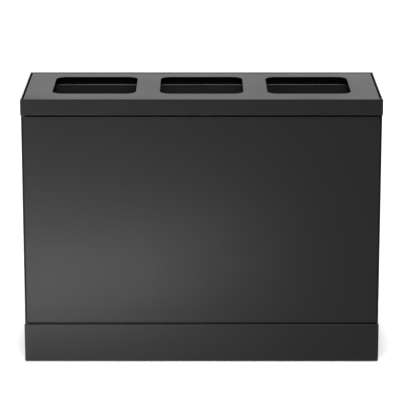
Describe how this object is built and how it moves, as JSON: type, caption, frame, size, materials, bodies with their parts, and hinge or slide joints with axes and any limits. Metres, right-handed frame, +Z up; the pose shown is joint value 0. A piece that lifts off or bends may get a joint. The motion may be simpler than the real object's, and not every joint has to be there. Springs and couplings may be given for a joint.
{
  "type": "recycling bin station",
  "caption": "Wide folded-steel recycling station on a recessed plinth, with rounded square top openings, rear-hinged lid, pivoting front door and lift-out bins with bag rings.",
  "frame": {"origin": "centre of the footprint at floor level, under the levelling feet", "axes": "+X to the right across the front, +Y from the front to the back, so the door faces -Y, +Z up"},
  "size_m": [1.185, 0.45, 0.9],
  "materials": {
    "powder_coat": "satin black powder coat with a fine texture",
    "inner_steel": "black powder coat, inside the cabinet",
    "hinge_steel": "black coated hinge leaves and pivot pins",
    "zinc_steel": "bright zinc plating",
    "stainless": "brushed stainless round bar",
    "bin_plastic": "moulded black plastic, fine grain",
    "hard_plastic": "moulded black plastic",
    "foot_plastic": "moulded black plastic foot",
    "rubber": "soft black rubber"
  },
  "bodies": {
    "root": {"back_panel": "powder_coat", "base_ring": "inner_steel", "bin_guides": "inner_steel", "bin_stop": "inner_steel", "bolt_strike": "inner_steel", "door_bracket_bottom": "inner_steel", "door_bracket_top": "inner_steel", "door_bush_bottom": "hard_plastic", "door_bush_top": "hard_plastic", "fixing_nuts": "zinc_steel", "floor_pan": "inner_steel", "foot_brackets": "inner_steel", "foot_nuts": "zinc_steel", "header_rail": "inner_steel", "hinge_fixed_leaf": "hinge_steel", "hinge_pin": "zinc_steel", "hinge_rivets_fixed": "hinge_steel", "lid_rest_pads": "rubber", "magnet_catches": "hard_plastic", "plinth_back": "powder_coat", "plinth_front": "powder_coat", "plinth_left": "powder_coat", "plinth_right": "powder_coat", "side_panel_left": "powder_coat", "side_panel_right": "powder_coat"},
    "lid": {"lid_flap": "powder_coat", "hinge_moving_leaf": "hinge_steel", "hinge_rivets_lid": "hinge_steel", "lid_stiffeners": "inner_steel"},
    "door": {"door_panel": "powder_coat", "door_stiffeners": "inner_steel", "door_pin_top": "hinge_steel", "door_pin_bottom": "hinge_steel", "bolt_guides": "inner_steel", "catch_plates": "zinc_steel"},
    "bolt": {"lock_bolt": "zinc_steel", "bolt_knob": "hard_plastic"},
    "bin_left_body": {"bin_left": "bin_plastic"},
    "ring_left_body": {"bag_ring_left": "stainless"},
    "bin_middle_body": {"bin_middle": "bin_plastic"},
    "ring_middle_body": {"bag_ring_middle": "stainless"},
    "bin_right_body": {"bin_right": "bin_plastic"},
    "ring_right_body": {"bag_ring_right": "stainless"},
    "foot_front_left": {"foot_pad_front_left": "foot_plastic", "foot_stud_front_left": "zinc_steel"},
    "foot_front_right": {"foot_pad_front_right": "foot_plastic", "foot_stud_front_right": "zinc_steel"},
    "foot_rear_left": {"foot_pad_rear_left": "foot_plastic", "foot_stud_rear_left": "zinc_steel"},
    "foot_rear_right": {"foot_pad_rear_right": "foot_plastic", "foot_stud_rear_right": "zinc_steel"}
  },
  "joints": [
    {"name": "lid_hinge", "type": "hinge", "parent": "root", "child": "lid", "pos_m": [0, 0.207, 0.897], "axis": [-1, 0, 0], "range_deg": [0, 95]},
    {"name": "door_hinge", "type": "hinge", "parent": "root", "child": "door", "pos_m": [-0.5829, -0.2185, 0.4885], "axis": [0, 0, -1], "range_deg": [0, 90]},
    {"name": "lock_bolt_slide", "type": "slide", "parent": "door", "child": "bolt", "axis": [0, 0, 1], "range_m": [0, 0.012]},
    {"name": "bin_left_lift", "type": "slide", "parent": "root", "child": "bin_left_body", "axis": [0, 0, 1], "range_m": [0, 0.01]},
    {"name": "bag_ring_left_lift", "type": "slide", "parent": "bin_left_body", "child": "ring_left_body", "axis": [0, 0, 1], "range_m": [0, 0.009]},
    {"name": "bin_middle_lift", "type": "slide", "parent": "root", "child": "bin_middle_body", "axis": [0, 0, 1], "range_m": [0, 0.01]},
    {"name": "bag_ring_middle_lift", "type": "slide", "parent": "bin_middle_body", "child": "ring_middle_body", "axis": [0, 0, 1], "range_m": [0, 0.009]},
    {"name": "bin_right_lift", "type": "slide", "parent": "root", "child": "bin_right_body", "axis": [0, 0, 1], "range_m": [0, 0.01]},
    {"name": "bag_ring_right_lift", "type": "slide", "parent": "bin_right_body", "child": "ring_right_body", "axis": [0, 0, 1], "range_m": [0, 0.009]},
    {"name": "foot_front_left_screw", "type": "slide", "parent": "root", "child": "foot_front_left", "axis": [0, 0, -1], "range_m": [0, 0.015]},
    {"name": "foot_front_right_screw", "type": "slide", "parent": "root", "child": "foot_front_right", "axis": [0, 0, -1], "range_m": [0, 0.015]},
    {"name": "foot_rear_left_screw", "type": "slide", "parent": "root", "child": "foot_rear_left", "axis": [0, 0, -1], "range_m": [0, 0.015]},
    {"name": "foot_rear_right_screw", "type": "slide", "parent": "root", "child": "foot_rear_right", "axis": [0, 0, -1], "range_m": [0, 0.015]}
  ]
}
